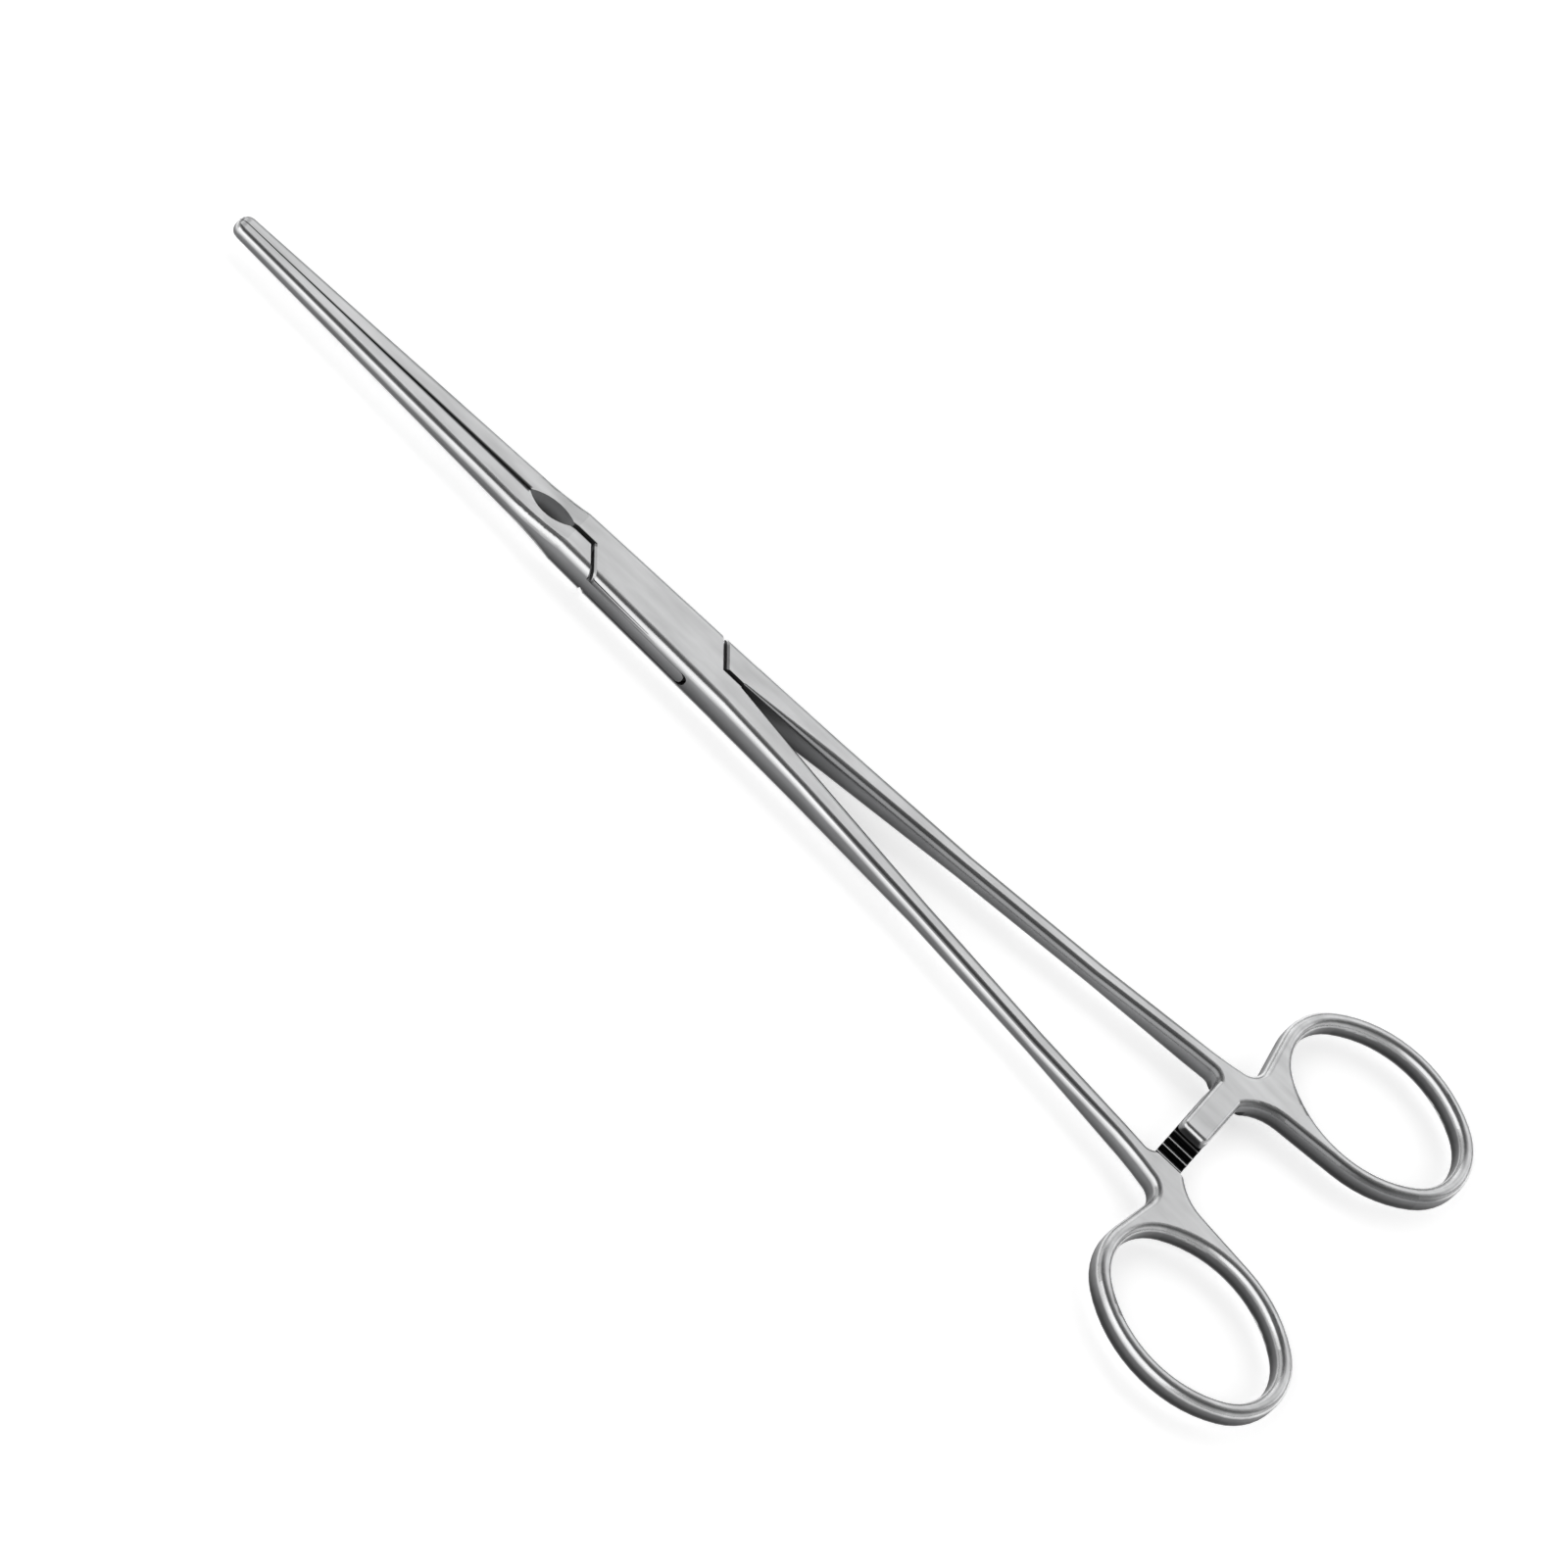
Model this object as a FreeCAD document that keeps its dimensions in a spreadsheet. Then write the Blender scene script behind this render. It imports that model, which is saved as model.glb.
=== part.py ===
# Straight box-lock clamp with long fine jaws, finger rings and a ratchet (millimetres).
#
# Frame: the origin is on the pivot axis, at the flat underside of the lock. +X runs from
# the pivot to the finger rings, +Y across the instrument, +Z up through the lock.
# The clamp lies flat, closed, with the ratchet just released.
#
# box_half holds the +Y jaw, both cheeks of the lock and the -Y handle. core_half holds the
# -Y jaw, the core that passes through the lock and the +Y handle. pivot_rivet joins them.
import FreeCAD
import Part
import Sketcher
import math
import os
import re

V = FreeCAD.Vector

# Driving dimensions: name, value, what it is
SIZES = [
    ("lock_width", 9.4, "lock, across both sides at the pivot"),
    ("lock_taper", 0.4, "how much further out each side of the lock is at its rear end"),
    ("lock_thickness", 5.2, "lock, top face to bottom face"),
    ("lock_root", 16.0, "pivot to where jaw and shank leave the lock"),
    ("lock_edge", 1.4, "rounding of the lock's long edges"),
    ("root_edge", 1.34, "the same, where jaw and shank leave the lock"),
    ("cheek_reach", 12.8, "pivot to the tip of a cheek's slanted end"),
    ("cheek_angle", 54.5, "angle of a cheek's slanted end to the long axis"),
    ("cheek_bevel", 0.3, "bevel along the slanted ends and the parting line"),
    ("slot_height", 2.3, "height of the slot between the cheeks"),
    ("core_inset", 2.3, "tip of a cheek's slanted end to the core's round shoulder"),
    ("slide_gap", 0.05, "running gap above and below the core"),
    ("shoulder_gap", 0.55, "radial gap between the core and the end of the slot"),
    ("slot_round", 0.9, "rounding of the core's rim and of the end of the slot"),
    ("step_gap", 0.4, "gap between a cheek's slanted end and the shoulder behind it"),
    ("parting_gap", 0.7, "width of the parting slot at the lock"),
    ("rivet_radius", 1.6, "shank of the pivot rivet"),
    ("rivet_head_radius", 2.2, "countersunk head of the rivet, at the face"),
    ("rivet_head_depth", 0.7, "depth of the rivet's countersink"),
    ("rivet_gap", 0.04, "radial running gap round the rivet in the core"),
    ("jaw_reach", 80.3, "pivot to the jaw tips"),
    ("jaw_mid", 32.0, "lock's root to the middle section of the jaws"),
    ("jaw_neck", 9.0, "lock's root to the back of the slender part of the jaws"),
    ("jaw_shoulder", 4.0, "lock's root to a section between neck and lock"),
    ("jaw_tip_width", 1.85, "one jaw's width near its tip"),
    ("jaw_mid_width", 3.1, "one jaw's width at the middle section"),
    ("jaw_neck_width", 3.85, "one jaw's width at its neck"),
    ("jaw_shoulder_width", 3.95, "one jaw's width at the shoulder"),
    ("jaw_tip_thickness", 2.4, "jaw thickness near the tip"),
    ("jaw_mid_thickness", 2.85, "jaw thickness at the middle section"),
    ("jaw_neck_thickness", 3.25, "jaw thickness at its neck"),
    ("jaw_shoulder_thickness", 3.9, "jaw thickness at the shoulder"),
    ("jaw_tip_edge", 0.95, "rounding of the outer edges near the tip"),
    ("jaw_edge", 1.25, "rounding of the outer edges along the jaw"),
    ("nose_plan", 1.45, "rounding of a jaw's tip in plan"),
    ("nose_face", 0.8, "rounding of a jaw's tip towards its flat faces"),
    ("nose_shrink", 0.6, "how far the rounding of the outer edges shrinks at the very tip"),
    ("jaw_tip_gap", 0.12, "gap between the closed jaws at the tips"),
    ("jaw_neck_gap", 0.4, "gap between the closed jaws at the neck"),
    ("eye_place", 4.5, "lock's root to the middle of the eye between the jaws"),
    ("eye_length", 8.4, "length of the eye"),
    ("eye_width", 3.1, "width of the eye"),
    ("shank_bend", 16.0, "lock's root to the section where a shank is free of the other"),
    ("shank_mid", 41.0, "shank's end back to its middle section"),
    ("shank_waist", 17.0, "shank's end back to its thinnest section"),
    ("shank_end", 97.0, "pivot to where a shank meets its ring"),
    ("shank_bend_out", 3.85, "shank's middle line from the long axis, at the bend"),
    ("shank_mid_out", 6.0, "the same, at the middle"),
    ("shank_waist_out", 8.42, "the same, at the waist"),
    ("shank_end_out", 10.2, "the same, at the ring"),
    ("shank_bend_width", 4.05, "shank width at the bend"),
    ("shank_mid_width", 3.2, "shank width at the middle"),
    ("shank_waist_width", 3.2, "shank width at the waist"),
    ("shank_end_width", 3.0, "shank width at the ring"),
    ("shank_bend_thickness", 4.4, "shank thickness at the bend"),
    ("shank_mid_thickness", 3.15, "shank thickness at the middle"),
    ("shank_waist_thickness", 2.8, "shank thickness at the waist"),
    ("shank_root_edge", 0.25, "rounding of a shank's inner edges where it leaves the lock"),
    ("shank_edge", 1.15, "rounding of the edges of shank and ring"),
    ("handle_angle", 6.0, "outward lean of shank end and ring"),
    ("handle_thickness", 3.9, "thickness of ring, web and the two ratchet arms"),
    ("ring_along", 26.5, "shank end to the ring's centre, along the lean"),
    ("ring_across", 12.5, "shank line to the ring's centre, across the lean"),
    ("ring_hole_length", 28.7, "long axis of the ring's hole"),
    ("ring_hole_width", 21.1, "short axis of the ring's hole"),
    ("ring_turn", -2.0, "ring's long axis against the lean, inwards is negative"),
    ("ring_hole_end", 8.45, "radius of the hole's ends"),
    ("ring_wire", 2.45, "width of the ring's bow in plan"),
    ("neck_lean", 4.0, "slant of the ring's flank above the neck"),
    ("neck_fillet", 2.6, "fillet between the ring's flank and the shank"),
    ("flare_radius", 60.0, "outer edge of the shank as it flares into the web"),
    ("web_fillet", 1.6, "fillet between shank and ratchet arm"),
    ("web_sweep", 8.0, "radius of the sweep between ratchet arm and ring"),
    ("web_step", 7.45, "long axis to the step where the ratchet arms begin"),
    ("web_notch", 9.0, "long axis to the web where the other arm passes it"),
    ("arm_place", 105.15, "pivot to the middle of the ratchet arms"),
    ("arm_width", 4.7, "width of a ratchet arm"),
    ("arm_edge", 0.8, "rounding of a ratchet arm's outer edges"),
    ("arm_corner", 0.9, "rounding of a ratchet arm's end in plan"),
    ("arm_overlap", 2.2, "how far an arm runs into the web"),
    ("upper_arm_past", 1.9, "how far the upper arm passes the long axis"),
    ("lower_arm_past", 7.4, "how far the lower arm passes the long axis"),
    ("tooth_start", 0.25, "notch to the foot of the first ratchet tooth"),
    ("tooth_pitch", 1.6, "pitch of the ratchet teeth"),
    ("lower_teeth", 7, "number of teeth on the lower arm"),
    ("upper_teeth", 3, "number of teeth on the upper arm"),
    ("tooth_depth", 0.75, "depth of the ratchet teeth"),
    ("tooth_land", 0.18, "flat crest of a ratchet tooth"),
    ("crest_gap", 0.16, "gap between the crests of the released ratchet"),
]

VALUES = {name: number for name, number, meaning in SIZES}
WORD = re.compile(r"[a-z][a-z_]*")


def formula(text):
    """An expression for setExpression: every driving dimension by its cell."""
    return WORD.sub(lambda found: "sizes." + found.group(0) if found.group(0) in VALUES
                    else found.group(0), text)


doc = FreeCAD.newDocument("clamp")
sheet = doc.addObject("Spreadsheet::Sheet", "sizes")
for row, (name, number, meaning) in enumerate(SIZES, start=1):
    sheet.set("A%d" % row, name)
    sheet.set("B%d" % row, str(number))
    sheet.set("C%d" % row, meaning)
    sheet.setAlias("B%d" % row, name)
doc.recompute()


def value(text):
    """The same expression as a number, to draw with."""
    return float(sheet.evalExpression(formula(text)))


# Sketch helpers

def new_body(name):
    return doc.addObject("PartDesign::Body", name)


def new_sketch(body, name, role, along="0", shift=("0", "0"), lean=None, lean_axis=None):
    """A sketch on one of the body's own origin planes, moved along and in that plane."""
    plane = [p for p in body.Origin.OriginFeatures if p.Role == role][0]
    made = body.newObject("Sketcher::SketchObject", name)
    made.AttachmentSupport = (plane, "")
    made.MapMode = "FlatFace"
    turn = FreeCAD.Rotation(lean_axis, value(lean)) if lean else FreeCAD.Rotation()
    place = V(value(shift[0]), value(shift[1]), value(along))
    made.AttachmentOffset = FreeCAD.Placement(place, turn)
    made.setExpression("AttachmentOffset.Base.x", formula(shift[0]))
    made.setExpression("AttachmentOffset.Base.y", formula(shift[1]))
    made.setExpression("AttachmentOffset.Base.z", formula(along))
    if lean:
        made.setExpression("AttachmentOffset.Rotation.Angle", formula(lean))
    return made


def pin(sketch, kind, refs, text):
    """A dimension bound to the sheet."""
    at = sketch.addConstraint(Sketcher.Constraint(kind, *refs, value(text)))
    sketch.setExpression("Constraints[%d]" % at, formula(text))


def pin_point(sketch, edge, end, x_text, y_text):
    pin(sketch, "DistanceX", (-1, 1, edge, end), x_text)
    pin(sketch, "DistanceY", (-1, 1, edge, end), y_text)


def polygon(sketch, corners):
    """A closed outline of straight edges, each corner pinned by two formulas."""
    points = [V(value(x), value(y), 0) for x, y in corners]
    edges = []
    for this, following in zip(points, points[1:] + points[:1]):
        edges.append(sketch.addGeometry(Part.LineSegment(this, following), False))
    for this, following in zip(edges, edges[1:] + edges[:1]):
        sketch.addConstraint(Sketcher.Constraint("Coincident", this, 2, following, 1))
    for edge, (x, y) in zip(edges, corners):
        pin_point(sketch, edge, 1, x, y)


def circle(sketch, x_text, y_text, radius_text):
    centre = V(value(x_text), value(y_text), 0)
    edge = sketch.addGeometry(Part.Circle(centre, V(0, 0, 1), value(radius_text)), False)
    pin(sketch, "Radius", (edge,), radius_text)
    pin_point(sketch, edge, 3, x_text, y_text)


def arc(centre, start, end):
    """An anticlockwise arc from start to end."""
    first = math.atan2(start.y - centre.y, start.x - centre.x)
    last = math.atan2(end.y - centre.y, end.x - centre.x)
    if last < first:
        last += 2 * math.pi
    return Part.ArcOfCircle(Part.Circle(centre, V(0, 0, 1), (start - centre).Length), first, last)


def rounded_section(sketch, low, high, half, edge, near_edge=None):
    """A bar's section from low to high, half thick each way from the line y = 0.

    Its corners are rounded by edge, apart from the two at low, which are rounded by
    near_edge, or sharp where that is "0".
    """
    near_edge = near_edge or edge
    x0, x1, h, r, rn = [value(text) for text in (low, high, half, edge, near_edge)]
    corners = [
        (V(x0 + rn, -h + rn, 0), V(x0, -h + rn, 0), V(x0 + rn, -h, 0), near_edge),
        (V(x1 - r, -h + r, 0), V(x1 - r, -h, 0), V(x1, -h + r, 0), edge),
        (V(x1 - r, h - r, 0), V(x1, h - r, 0), V(x1 - r, h, 0), edge),
        (V(x0 + rn, h - rn, 0), V(x0 + rn, h, 0), V(x0, h - rn, 0), near_edge),
    ]
    arcs, lines = [], []
    for at, (centre, start, end, radius) in enumerate(corners):
        round_corner = radius != "0"
        arcs.append(sketch.addGeometry(arc(centre, start, end), False) if round_corner else None)
        ahead = corners[(at + 1) % 4][1]
        lines.append(sketch.addGeometry(Part.LineSegment(end, ahead), False))
    for at, (centre, start, end, radius) in enumerate(corners):
        if arcs[at] is None:
            sketch.addConstraint(Sketcher.Constraint("Coincident", lines[at - 1], 2, lines[at], 1))
        else:
            sketch.addConstraint(Sketcher.Constraint("Tangent", lines[at - 1], 2, arcs[at], 1))
            sketch.addConstraint(Sketcher.Constraint("Tangent", arcs[at], 2, lines[at], 1))
            pin(sketch, "Radius", (arcs[at],), radius)
    bottom, outer, top, inner = lines
    for flat in (bottom, top):
        sketch.addConstraint(Sketcher.Constraint("Horizontal", flat))
    for side in (outer, inner):
        sketch.addConstraint(Sketcher.Constraint("Vertical", side))
    pin(sketch, "DistanceX", (-1, 1, inner, 1), low)
    pin(sketch, "DistanceX", (-1, 1, outer, 1), high)
    pin(sketch, "DistanceY", (-1, 1, bottom, 1), "-(%s)" % half)
    pin(sketch, "DistanceY", (-1, 1, top, 1), half)


def oval(sketch, x_text, y_text, length, width, end_radius, lean):
    """A closed oval of four tangent arcs, two ends and two flatter sides, turned by lean."""
    reach = "((%s) / 2 - (%s))" % (length, end_radius)
    side = oval_side(length, width, end_radius)
    centre = V(value(x_text), value(y_text), 0)
    angle, r1 = math.radians(value(lean)), value(end_radius)
    along = V(math.cos(angle), math.sin(angle), 0)
    across = V(-along.y, along.x, 0)
    right, left = centre + along * value(reach), centre - along * value(reach)
    inset = value(side) - value(width) / 2
    below, above = centre + across * inset, centre - across * inset
    joints = []
    for end, far in ((right, below), (right, above), (left, above), (left, below)):
        joints.append(end + (end - far).normalize() * r1)
    low_right, high_right, high_left, low_left = joints
    edges = [
        sketch.addGeometry(arc(right, low_right, high_right), False),
        sketch.addGeometry(arc(above, high_right, high_left), False),
        sketch.addGeometry(arc(left, high_left, low_left), False),
        sketch.addGeometry(arc(below, low_left, low_right), False),
    ]
    for at, edge in enumerate(edges):
        sketch.addConstraint(Sketcher.Constraint("Tangent", edge, 2, edges[(at + 1) % 4], 1))
    pin_point(sketch, edges[0], 3, *turned(x_text, y_text, reach, lean))
    pin_point(sketch, edges[2], 3, *turned(x_text, y_text, "-" + reach, lean))
    for edge, radius in zip(edges, (end_radius, side, end_radius, side)):
        pin(sketch, "Radius", (edge,), radius)


def turned(x_text, y_text, along, lean):
    """The point that lies along from (x, y), in the direction lean."""
    return ("%s + %s * cos(%s * 1 deg)" % (x_text, along, lean),
            "%s + %s * sin(%s * 1 deg)" % (y_text, along, lean))


def oval_side(length, width, end_radius):
    """Radius of an oval's flatter sides."""
    parts = {"a": "((%s) / 2)" % length, "b": "((%s) / 2)" % width, "r": "(%s)" % end_radius}
    return "((({a} - {r})^2 + {b}^2 - {r}^2) / (2 * ({b} - {r})))".format(**parts)


# Feature helpers

def pad(body, sketch, length, both_ways=True, back=False):
    made = body.newObject("PartDesign::Pad", sketch.Name + "_pad")
    made.Profile = sketch
    made.SideType = "Symmetric" if both_ways else "One side"
    made.Reversed = back
    made.setExpression("Length", formula(length))
    doc.recompute()
    return made


def pocket(body, sketch, length, both_ways=True):
    before = body.Shape.Volume
    made = body.newObject("PartDesign::Pocket", sketch.Name + "_pocket")
    made.Profile = sketch
    made.SideType = "Symmetric" if both_ways else "One side"
    made.setExpression("Length", formula(length))
    doc.recompute()
    if not made.Shape.Volume < before:
        raise ValueError(made.Name + " cuts nothing")
    return made


def loft(body, name, sections, straight=False):
    made = body.newObject("PartDesign::AdditiveLoft", name)
    made.Profile = sections[0]
    made.Sections = sections[1:]
    made.Ruled = straight
    doc.recompute()
    return made


def dress(body, kind, name, amount, base, test):
    """A Fillet or Chamfer on the edges of base that pass the test."""
    chosen = ["Edge%d" % (at + 1) for at, edge in enumerate(base.Shape.Edges) if test(edge)]
    made = body.newObject("PartDesign::" + kind, name)
    made.Base = (base, chosen)
    made.setExpression("Radius" if kind == "Fillet" else "Size", formula(amount))
    doc.recompute()
    return made


def near(number, text):
    return abs(number - value(text)) < 1e-4


def flat_at(edge, *levels):
    """True for an edge that lies at one of these heights."""
    box = edge.BoundBox
    return box.ZLength < 1e-4 and any(near(box.ZMin, level) for level in levels)


def middle(edge):
    return edge.valueAt((edge.FirstParameter + edge.LastParameter) / 2)


MID = "lock_thickness / 2"
FACES = ("0", "lock_thickness")
NOSE_ANGLES = (0, 28, 52, 70, 82)
HANDLE_FACES = (MID + " - handle_thickness / 2", MID + " + handle_thickness / 2")


# Jaw, on the +Y side. Its bite face runs straight from the neck to the tip.

BITE_SLOPE = "((jaw_neck_gap - jaw_tip_gap) / 2 / (jaw_reach - lock_root - jaw_neck))"


def bite(from_root):
    """The bite face's distance from the long axis, at a distance from the lock's root."""
    return "(jaw_neck_gap / 2 - (%s - jaw_neck) * %s)" % (from_root, BITE_SLOPE)


def jaw_section(body, name, from_root, low, width, thickness, edge):
    section = new_sketch(body, name, "YZ_Plane", "-(lock_root + %s)" % from_root, ("0", MID))
    rounded_section(section, low, "%s + %s" % (low, width), "(%s) / 2" % thickness, edge, "0")
    return section


def nose_section(body, at, angle):
    """A section of the rounded tip, at this angle round its quarter circle in plan."""
    round_off = "(1 - cos(%g * 1 deg))" % angle
    return jaw_section(
        body, "nose_section_%d" % at,
        "jaw_reach - lock_root - nose_plan * (1 - sin(%g * 1 deg))" % angle,
        "jaw_tip_gap / 2", "(jaw_tip_width - nose_plan * %s)" % round_off,
        "jaw_tip_thickness - 2 * nose_face * %s" % round_off,
        "jaw_tip_edge * (1 - %s * nose_shrink)" % round_off)


def make_jaw():
    body = new_body("jaw")
    neck = ("jaw_neck", bite("jaw_neck"), "jaw_neck_width", "jaw_neck_thickness", "jaw_edge")
    slender = [
        jaw_section(body, "neck_section", *neck),
        jaw_section(body, "mid_section", "jaw_mid", bite("jaw_mid"), "jaw_mid_width",
                    "jaw_mid_thickness", "jaw_edge"),
        nose_section(body, 0, 0),
    ]
    loft(body, "slender_loft", slender, straight=True)
    nose = [nose_section(body, at, angle) for at, angle in enumerate(NOSE_ANGLES, start=1)]
    loft(body, "nose_loft", nose)
    root = [
        jaw_section(body, "back_section", *neck),
        jaw_section(body, "shoulder_section", "jaw_shoulder", "jaw_neck_gap / 2",
                    "jaw_shoulder_width", "jaw_shoulder_thickness", "jaw_edge"),
        jaw_section(body, "root_section", "0", "parting_gap / 2",
                    "((lock_width - parting_gap) / 2 - lock_taper)", "lock_thickness",
                    "root_edge"),
    ]
    loft(body, "root_loft", root)
    eye = new_sketch(body, "eye", "XY_Plane", MID)
    radius = "((eye_length / 2)^2 + (eye_width / 2)^2) / eye_width"
    circle(eye, "-lock_root - eye_place", "eye_width / 2 - " + radius, radius)
    pocket(body, eye, "2 * lock_thickness")
    return body


# Shank, on the +Y side

def make_shank():
    body = new_body("shank")
    bend, mid, waist = "lock_root + shank_bend", "shank_end - shank_mid", "shank_end - shank_waist"
    sections = []
    root = new_sketch(body, "shank_root", "YZ_Plane", "lock_root", ("0", MID))
    rounded_section(root, "parting_gap / 2", "lock_width / 2 + lock_taper",
                    "lock_thickness / 2", "root_edge", "shank_root_edge")
    sections.append(root)
    for name, place in (("bend", bend), ("mid", mid), ("waist", waist)):
        section = new_sketch(body, "shank_at_" + name, "YZ_Plane", place, ("0", MID))
        out, width = "shank_%s_out" % name, "shank_%s_width" % name
        rounded_section(section, "%s - %s / 2" % (out, width), "%s + %s / 2" % (out, width),
                        "shank_%s_thickness / 2" % name, "shank_edge")
        sections.append(section)
    end = new_sketch(body, "shank_at_end", "YZ_Plane", "shank_end", ("shank_end_out", MID),
                     "handle_angle", V(0, 1, 0))
    rounded_section(end, "-shank_end_width / 2", "shank_end_width / 2",
                    "handle_thickness / 2", "shank_edge")
    sections.append(end)
    loft(body, "shank_loft", sections, straight=True)
    return body


# Handle: finger ring, web and the start of the ratchet arm, on the +Y side.
# The sketch is drawn in a leaning frame, with x along the shank from its end.

def leaning(x_text, y_text):
    """The place of a point of the row's frame in the leaning frame."""
    dx, dy = "(%s - shank_end)" % x_text, "(%s - shank_end_out)" % y_text
    turn = "(handle_angle * 1 deg)"
    return ("%s * cos%s + %s * sin%s" % (dx, turn, dy, turn),
            "%s * cos%s - %s * sin%s" % (dy, turn, dx, turn))


def make_handle():
    body = new_body("handle")
    outline = new_sketch(body, "handle_outline", "XY_Plane", MID,
                         ("shank_end", "shank_end_out"), "handle_angle", V(0, 0, 1))
    length = "ring_hole_length + 2 * ring_wire"
    width = "ring_hole_width + 2 * ring_wire"
    end_radius = "ring_hole_end + ring_wire"
    side_radius = oval_side(length, width, end_radius)
    reach = "(ring_hole_length / 2 - ring_hole_end)"
    inset = "(%s - (%s) / 2)" % (side_radius, width)
    half = "shank_end_width / 2"
    arm_left = leaning("(arm_place - arm_width / 2)", "web_step")
    arm_right = leaning("(arm_place + arm_width / 2)", "web_step")

    # Centres and joints of the outline, in order, worked out from the sizes
    hw, r1, r2 = value(half), value(end_radius), value(side_radius)
    centre = V(value("ring_along"), value("ring_across"), 0)
    ring_lean = math.radians(value("ring_turn"))
    ring_axis = V(math.cos(ring_lean), math.sin(ring_lean), 0)
    ring_side = V(-ring_axis.y, ring_axis.x, 0)
    right, left = centre + ring_axis * value(reach), centre - ring_axis * value(reach)
    below, above = centre + ring_side * value(inset), centre - ring_side * value(inset)
    start, top = V(0, -hw, 0), V(0, hw, 0)
    step_left = V(value(arm_left[0]), value(arm_left[1]), 0)
    step_right = V(value(arm_right[0]), value(arm_right[1]), 0)
    rf, rs = value("web_fillet"), value("web_sweep")
    web_centre = V(step_left.x - math.sqrt(rf ** 2 - (step_left.y + hw + rf) ** 2), -hw - rf, 0)
    web_start = V(web_centre.x, -hw, 0)
    flank = below.y - r2
    sweep_y = flank - rs
    sweep_centre = V(step_right.x + math.sqrt(rs ** 2 - (step_right.y - sweep_y) ** 2), sweep_y, 0)
    sweep_end = V(sweep_centre.x, flank, 0)
    low_side = V(below.x, flank, 0)
    low_right = right + (right - below).normalize() * r1
    high_right = right + (right - above).normalize() * r1
    high_left = left + (left - above).normalize() * r1
    lean = math.radians(180 + value("neck_lean"))
    out = V(math.cos(lean), math.sin(lean), 0)
    down = V(-out.y, out.x, 0)
    flank_top = left + out * r1
    rn, big = value("neck_fillet"), value("flare_radius")
    flare_centre = V(0, hw + big, 0)
    offset = flank_top + out * rn - flare_centre
    along = offset.dot(down)
    slide = -along + math.sqrt(along ** 2 - offset.dot(offset) + (big - rn) ** 2)
    neck_centre = flank_top + out * rn + down * slide
    neck_top = neck_centre - out * rn
    neck_low = flare_centre + (neck_centre - flare_centre).normalize() * big

    shapes = [
        Part.LineSegment(start, web_start),
        arc(web_centre, step_left, web_start),
        Part.LineSegment(step_left, step_right),
        arc(sweep_centre, sweep_end, step_right),
        Part.LineSegment(sweep_end, low_side),
        arc(below, low_side, low_right),
        arc(right, low_right, high_right),
        arc(above, high_right, high_left),
        arc(left, high_left, flank_top),
        Part.LineSegment(flank_top, neck_top),
        arc(neck_centre, neck_low, neck_top),
        arc(flare_centre, top, neck_low),
        Part.LineSegment(top, start),
    ]
    (shank_line, web_arc, step_line, sweep_arc, flank_line, low_arc, right_arc, high_arc,
     left_arc, neck_line, neck_arc, flare_arc, end_line) = [
        outline.addGeometry(shape, False) for shape in shapes]
    joints = [
        ("Tangent", shank_line, 2, web_arc, 2),
        ("Coincident", web_arc, 1, step_line, 1),
        ("Coincident", step_line, 2, sweep_arc, 2),
        ("Tangent", sweep_arc, 1, flank_line, 1),
        ("Tangent", flank_line, 2, low_arc, 1),
        ("Tangent", low_arc, 2, right_arc, 1),
        ("Tangent", right_arc, 2, high_arc, 1),
        ("Tangent", high_arc, 2, left_arc, 1),
        ("Tangent", left_arc, 2, neck_line, 1),
        ("Tangent", neck_line, 2, neck_arc, 2),
        ("Tangent", neck_arc, 1, flare_arc, 2),
        ("Coincident", flare_arc, 1, end_line, 1),
        ("Coincident", end_line, 2, shank_line, 1),
    ]
    for joint in joints:
        outline.addConstraint(Sketcher.Constraint(*joint))
    for level in (shank_line, flank_line):
        outline.addConstraint(Sketcher.Constraint("Horizontal", level))
    pin_point(outline, end_line, 1, "0", half)
    pin_point(outline, end_line, 2, "0", "-" + half)
    pin_point(outline, step_line, 1, *arm_left)
    pin_point(outline, step_line, 2, *arm_right)
    pin(outline, "Radius", (web_arc,), "web_fillet")
    pin(outline, "Radius", (sweep_arc,), "web_sweep")
    pin(outline, "DistanceX", (-1, 1, low_arc, 3),
        "ring_along - %s * sin(ring_turn * 1 deg)" % inset)
    pin(outline, "Radius", (low_arc,), side_radius)
    pin_point(outline, right_arc, 3, *turned("ring_along", "ring_across", reach, "ring_turn"))
    pin_point(outline, left_arc, 3,
              *turned("ring_along", "ring_across", "-" + reach, "ring_turn"))
    pin(outline, "Radius", (right_arc,), end_radius)
    pin(outline, "Radius", (left_arc,), end_radius)
    pin(outline, "Radius", (high_arc,), side_radius)
    pin(outline, "Angle", (-2, 2, neck_line, 1), "neck_lean * 1 deg")
    pin(outline, "Radius", (neck_arc,), "neck_fillet")
    pin(outline, "Radius", (flare_arc,), "flare_radius")
    pin(outline, "DistanceX", (-1, 1, flare_arc, 3), "0")
    oval(outline, "ring_along", "ring_across", "ring_hole_length", "ring_hole_width",
         "ring_hole_end", "ring_turn")
    blank = pad(body, outline, "handle_thickness")

    def rounded(edge):
        """Every edge round the two faces but those where shank and arm join."""
        here = outline.Placement.inverse().multVec(middle(edge))
        on_step = abs((here - (step_left + step_right) / 2).dot(V(1, 0, 0))) < value(
            "arm_width / 2") and here.y < step_left.y + 0.6
        return flat_at(edge, *HANDLE_FACES) and here.x > 0.01 and not on_step
    dress(body, "Fillet", "handle_fillet", "shank_edge", blank, rounded)
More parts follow.
